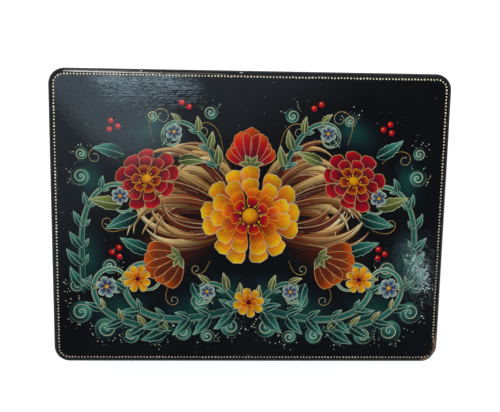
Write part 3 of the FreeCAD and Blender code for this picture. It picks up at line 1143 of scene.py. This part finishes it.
# Leaves: X, Y, heading, length, kind. Tendrils: X, Y, heading, length, bend. Berries: X, Y
leaves = ((56, 3, -24, 18, 0), (64, 8, 6, 17, 2), (63, 33, 24, 16, 0), (44, 38, 122, 15, 1),
          (36, 30, 162, 14, 2), (50, -16, 18, 17, 0), (53, -27, -20, 14, 2), (29, -32, -116, 13, 0))
tendrils = ((14, 36, 80, 36, -460), (48, 39, 70, 36, 450), (66, 30, 46, 30, -430),
            (62, -4, -20, 26, 440), (40, -32, -64, 24, -420), (20, -20, -70, 22, 430))
berries = ((66, 47), (69.4, 49.6), (70.2, 45.4), (31, 57), (34.6, 59), (66, -14), (69.4, -16.4),
           (65.8, -18.6))
print("on each side:", len(scrolls), "scrolls,", len(leaves), "leaves and", len(berries), "berries")

# %% Paint both sides
for canvas.side in (1, -1):
    for x, y, radius, stretch, angle in dark_hazes:
        haze((x, y), radius, ["teal_deep", "pine", "night"], stretch=stretch, angle=angle)
    for x, y, radius, angle in warm_hazes:
        haze((x, y), radius, ["chestnut", "umber", "umber", "rust"], 0.012, stretch=1.5, angle=angle)
    for x, y, radius, turn, hand in scrolls:
        scroll((x + chance.uniform(-1, 1), y + chance.uniform(-1, 1)), radius * chance.uniform(0.92, 1.08),
               0.02, turn, hand)

    # Plumes: place, heading, length, bend, hairs, spread, level
    plume((8, 12), 62, 60, -118, 12, 15, 0.03)
    plume((12, 6), 26, 66, -78, 12, 15, 0.04, late=1.1)
    plume((12, -4), -12, 62, 92, 11, 14, 0.03, late=1.3)

    # Fronds: place, heading, length, bend, width, level, how many leaves, and the length of the first
    frond((3, -45), -14, 118, 470, 4.2, 0.12, 6, 16, late=1.9, eye=gold_eye)
    frond((38, -57), 6, 92, 420, 3.6, 0.10, 5, 14, late=1.7, kind=1, eye=blue_eye)
    frond((84, -38), 88, 100, 440, 3.2, 0.10, 6, 12, late=2.6, eye=small_eye)
    frond((16, 26), 66, 62, -420, 2.6, 0.14, 4, 11, late=1.9, kind=2, eye=small_eye)
    frond((4, -44), 52, 46, -400, 2.8, 0.12, 3, 11, late=1.5, kind=2, eye=small_eye)

    # Single leaves, tendrils, flowers and berries fill what is left
    for x, y, heading, length, kind in leaves:
        leaf((x, y), heading, length, 0.16, bend=chance.uniform(-40, 40), kind=kind)
    for x, y, heading, length, bend in tendrils:
        tendril((x, y), heading, length, bend, 0.07)
    poppy((35, -18), -28, 20, chestnut_petals, ["flame", "sand"], 0.20, vein="umber")
    blossom((52, 21), 17.0, crimson_rings, ["yellow", "orange", "wine"], 0.20, 10, 0.86, 55)
    for middle in berries:
        berry(middle, 1.5, ["flame", "crimson", "wine"], 0.08)

# The flowers in the middle are painted once
canvas.side = 1
poppy_paints = ["plum", "wine", "crimson", "flame"]
for heading, length, level in ((52, 15, 0.02), (128, 15, 0.05), (90, 19, 0.10)):
    poppy((0, 28), heading, length, poppy_paints, ["crimson", "sand"], level, 3, 26, "wine")
blossom((0, -42), 8.0, gold_rings, ["wine", "plum"], 0.20, 12)
blossom((0, 3), 25.0, orange_rings, ["yellow", "orange", "wine"], 0.20, 5)
print(len(canvas.washes), "washes,", len(canvas.lines), "lines,", len(canvas.beads), "beads")

# %% [markdown]
# ## From strokes to sheets of paint
#
# A wash is closed all round, as paint is: its face lies above the lacquer and its back just inside
# it. The fine lines go through one tree of nodes that sweeps a flat profile along them, and the
# beads through another that sets a low dome on every point.

# %% The paint itself
def paint_finish(name):
    """Egg tempera under clear lacquer: its own colour, brushed unevenly, and the gloss of the coat."""
    material, tree, shader = finish_named(name)
    shade = add(tree, "ShaderNodeAttribute", attribute_name="paint").outputs["Color"]
    brushed = noise(tree, (700, 1500, 1500), 3.0, 0.6)
    pooled = noise(tree, (160, 160, 160), 2.0)
    value = total(tree, product(tree, brushed, 0.55), product(tree, pooled, 0.60), 0.38)
    varied = add(tree, "ShaderNodeHueSaturation", {"Color": shade, "Value": value,
                                                   "Saturation": 1.05}).outputs[0]
    tree.links.new(varied, shader.inputs["Base Color"])
    shader.inputs["Roughness"].default_value = 0.07
    tree.links.new(lacquer_relief(tree), shader.inputs["Normal"])
    return material


tempera = paint_finish("tempera_under_lacquer")

# How far in millimetres the back of a sheet of paint lies below the lacquer's surface
paint_sink = 0.06


def painted_points(points, level):
    """Points in millimetres as places on the lid, at a level above the lacquer."""
    flat = points * mm
    return np.column_stack([flat, lid_top(flat[:, 0], flat[:, 1]) + level * mm])


def store_paint(mesh, shades):
    """Keep a colour on each point."""
    rgba = np.column_stack([shades, np.ones(len(shades))])
    mesh.color_attributes.new("paint", "FLOAT_COLOR", "POINT").data.foreach_set("color", rgba.ravel())


def sheets_of_paint(name, washes):
    """One piece of many closed sheets."""
    vertices, shades, faces = [], [], []
    count = 0
    for grid, grid_shades, level in washes:
        rows, columns = grid.shape[:2]
        numbers = np.arange(rows * columns).reshape(rows, columns)
        rim = np.concatenate([numbers[0, :-1], numbers[:-1, -1], numbers[-1, :0:-1], numbers[:0:-1, 0]])
        flat, flat_shades = grid.reshape(-1, 2), grid_shades.reshape(-1, 3)
        vertices += [painted_points(flat, level), painted_points(flat[rim], -paint_sink)]
        shades += [flat_shades, flat_shades[rim]]
        quads = np.stack([numbers[:-1, :-1], numbers[:-1, 1:], numbers[1:, 1:], numbers[1:, :-1]], axis=-1)
        faces += (quads.reshape(-1, 4) + count).tolist()
        lower = np.arange(len(rim)) + rows * columns
        after = np.roll(np.arange(len(rim)), -1)
        faces += (np.column_stack([rim[after], rim, lower, lower[after]]) + count).tolist()
        faces.append((lower + count).tolist())
        count += rows * columns + len(rim)
    piece = new_piece(name, np.vstack(vertices), faces, [tempera])
    store_paint(piece.data, np.vstack(shades))
    return piece


washes_piece = sheets_of_paint("painting_washes", canvas.washes)
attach(washes_piece, "lid")
print("washes:", len(washes_piece.data.polygons), "faces")

# %% Brush lines
tree, given = pattern("brush_lines", {"Flatness": "Float", "Material": "Material"})
curves = step(tree, "GeometryNodeMeshToCurve", {0: given["Start"]})
curves = step(tree, "GeometryNodeSetCurveNormal", {0: curves}, mode="Z_UP")
profile = step(tree, "GeometryNodeCurvePrimitiveCircle", {"Resolution": 4, "Radius": 1.0})
flat = step(tree, "ShaderNodeCombineXYZ", {0: 1.0, 1: given["Flatness"], 2: 1.0})
profile = step(tree, "GeometryNodeTransform", {"Geometry": profile, "Scale": flat})
width = step(tree, "GeometryNodeInputNamedAttribute", {"Name": "width"}, data_type="FLOAT")
swept = step(tree, "GeometryNodeCurveToMesh", {"Curve": curves, "Profile Curve": profile,
                                               "Scale": width, "Fill Caps": True})
close_pattern(tree, swept, given["Material"])
line_tree = tree


def line_start(name, drawn):
    """A start mesh of open lines, with a width and a colour on each point."""
    mesh = bpy.data.meshes.new(name)
    places, edges, widths, shades = [], [], [], []
    count = 0
    for points, half_widths, line_shades, level in drawn:
        places.append(painted_points(points, level))
        widths.append(half_widths * mm)
        shades.append(line_shades)
        edges += [(point, point + 1) for point in range(count, count + len(points) - 1)]
        count += len(points)
    mesh.from_pydata(np.vstack(places).tolist(), edges, [])
    mesh.attributes.new("width", "FLOAT", "POINT").data.foreach_set("value", np.concatenate(widths))
    store_paint(mesh, np.vstack(shades))
    return mesh


lines_piece = grow("painting_lines", line_tree, {"Flatness": 0.08, "Material": tempera},
                   line_start("painting_lines", canvas.lines))
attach(lines_piece, "lid")
print("lines:", len(lines_piece.data.polygons), "faces")

# %% Beads of light paint
tree, given = pattern("paint_beads", {"Flatness": "Float", "Material": "Material"})
dome = step(tree, "GeometryNodeMeshUVSphere", {"Segments": 7, "Rings": 4, "Radius": 1.0})
size = step(tree, "GeometryNodeInputNamedAttribute", {"Name": "width"}, data_type="FLOAT")
squat = product(tree, size, given["Flatness"])
size = step(tree, "ShaderNodeCombineXYZ", {0: size, 1: size, 2: squat})
points = step(tree, "GeometryNodeMeshToPoints", {0: given["Start"]})
domes = step(tree, "GeometryNodeInstanceOnPoints", {"Points": points, "Instance": dome, "Scale": size})
close_pattern(tree, domes, given["Material"])
bead_tree = tree

bead_start = bpy.data.meshes.new("painting_beads")
spots = np.array([point for point, _, _, _ in canvas.beads])
levels = np.array([level for _, _, _, level in canvas.beads])
bead_start.from_pydata(painted_points(spots, levels).tolist(), [], [])
bead_sizes = np.array([radius * mm for _, radius, _, _ in canvas.beads])
bead_start.attributes.new("width", "FLOAT", "POINT").data.foreach_set("value", bead_sizes)
store_paint(bead_start, np.array([shade for _, _, shade, _ in canvas.beads]))
beads_piece = grow("painting_beads", bead_tree, {"Flatness": 0.3, "Material": tempera}, bead_start)
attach(beads_piece, "lid")
print("beads:", len(beads_piece.data.polygons), "faces")

# %% [markdown]
# ## Bands
#
# The walls and the lid's band keep their own mesh: their shape is right, with the hinge mortises cut.
# Only the finish is new. Outside they are black, and inside the lid's band is red like the floor. One
# mesh has one material slot here, so the material itself asks whether a point lies inside the band.

# %% Lacquer that is black outside and red inside
def inside_band(tree, half_width, half_depth):
    """1 inside an upright rectangle about the origin, 0 outside."""
    parts = add(tree, "ShaderNodeSeparateXYZ", {0: on_object(tree)}).outputs
    within = [calc(tree, "LESS_THAN", calc(tree, "ABSOLUTE", parts[axis]), float(half))
              for axis, half in enumerate((half_width, half_depth))]
    return product(tree, *within)


band_skin = 0.15 * mm
band_lacquer = lacquer("band_lacquer", *black_coats, worn_brown, scuffed_brown)
tree = band_lacquer.node_tree
shader = next(node for node in tree.nodes if node.type == "BSDF_PRINCIPLED")
outside = shader.inputs["Base Color"].links[0].from_socket
inside = inside_band(tree, vault_half[0] + band_skin, vault_half[1] + band_skin)
two_sided = tinted(tree, inside, outside, coat_colour(tree, *red_coats))
tree.links.new(two_sided, shader.inputs["Base Color"])
for name, material in (("lid_rim", band_lacquer), ("body_band", black_lacquer),
                       ("body_liner", red_lacquer)):
    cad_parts[name].data.materials[0] = material
    print(name, "is finished in", material.name)

# %% [markdown]
# ## Hinges
#
# The hinges are small brass butts. Brass that is handled a little and polished never has a clean,
# even colour: it goes brown in patches and keeps fine scratches along the length of the barrel. An
# image could hold all that, but noise in metres suits each piece at once, whatever its size. The
# leaves and pins keep their own mesh.

# %% Brass
def brass_finish():
    """Old brass: a warm metal with brown patches, and scratches along X."""
    material, tree, shader = finish_named("old_brass")
    patches = ramp(tree, noise(tree, (420, 420, 420), 4.0, 0.65), 0.42, 0.68)
    specks = ramp(tree, noise(tree, (1900, 1900, 1900), 3.0), 0.60, 0.72)
    metal = tinted(tree, patches, colour(226, 184, 98), colour(150, 104, 46))
    metal = tinted(tree, specks, metal, colour(78, 52, 28))
    tree.links.new(metal, shader.inputs["Base Color"])
    shader.inputs["Metallic"].default_value = 1.0
    rough = total(tree, product(tree, patches, 0.22), 0.24)
    tree.links.new(rough, shader.inputs["Roughness"])
    scratches = product(tree, noise(tree, (300, 5200, 5200), 2.0), 5e-6)
    bump = add(tree, "ShaderNodeBump", {"Height": scratches, "Strength": 0.8, "Distance": 1.0}).outputs[0]
    tree.links.new(bump, shader.inputs["Normal"])
    return material


old_brass = brass_finish()
hinge_nodes = [node for name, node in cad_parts.items() if name.startswith("hinge_")]
for node in hinge_nodes:
    node.data.materials[0] = old_brass
print(len(hinge_nodes), "hinge pieces in old brass")

# %% [markdown]
# ## Rivets
#
# Two rivets go through each leaf and its wall, with a low dome outside and a closed end inside. They
# could be copied one by one, but all of them are one turned shape. So one tree of nodes sets that shape
# on the place of each rivet, once for the box and once for the lid.

# %% Rivets
rivet_head_radius, rivet_head_height, shank_radius = 1.3 * mm, 0.5 * mm, 0.75 * mm
end_rise = 0.1 * mm
back_y = rim_high.y


def turned_rivet(length):
    """A rivet turned about Y: a low dome outside the wall, a shank, and a slightly domed end inside."""
    dome = [(rivet_head_radius * math.sin(a), rivet_head_height * math.cos(a))
            for a in np.radians(np.linspace(6, 90, 8))]
    end = [(shank_radius * math.cos(a), -length - end_rise * math.sin(a))
           for a in np.radians((0, 30, 60, 84))]
    profile = [*dome, (shank_radius, 0.0), *end]
    steps = 20
    angles = np.linspace(0, 2 * math.pi, steps, endpoint=False)
    vertices = [(r * math.cos(a), y, r * math.sin(a)) for r, y in profile for a in angles]
    faces = [(row * steps + k, row * steps + (k + 1) % steps, (row + 1) * steps + (k + 1) % steps,
              (row + 1) * steps + k) for row in range(len(profile) - 1) for k in range(steps)]
    faces += [tuple(range(steps)), tuple(range((len(profile) - 1) * steps, len(profile) * steps))]
    return new_piece("rivet_blank", vertices, faces, [old_brass], sharp_degrees=50)


tree, given = pattern("rivets", {"Blank": "Object", "Material": "Material"})
blank = add(tree, "GeometryNodeObjectInfo", {"Object": given["Blank"]}).outputs["Geometry"]
points = step(tree, "GeometryNodeMeshToPoints", {0: given["Start"]})
set_in = step(tree, "GeometryNodeInstanceOnPoints", {"Points": points, "Instance": blank})
close_pattern(tree, set_in, given["Material"])
rivet_tree = tree

for body, part in (("box", "body"), ("lid", "lid")):
    nodes = [f"hinge_{side}_{part}_rivets" for side in ("left", "right")]
    places = []
    for node in nodes:
        low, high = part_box(node)
        height = (low.z + high.z) / 2
        places += [(x, back_y, height) for x in (low.x + rivet_head_radius, high.x - rivet_head_radius)]
    rivet_start = bpy.data.meshes.new("rivet_places")
    rivet_start.from_pydata(places, [], [])
    blank_piece = turned_rivet(back_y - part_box(nodes[0])[0].y)
    rivets = grow(f"{part}_rivets", rivet_tree, {"Blank": blank_piece, "Material": old_brass}, rivet_start)
    bpy.data.objects.remove(blank_piece)
    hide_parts(*nodes)
    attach(rivets, body)
    print(rivets.name, len(places), "rivets at", round(places[0][2] / mm, 2), "mm up")
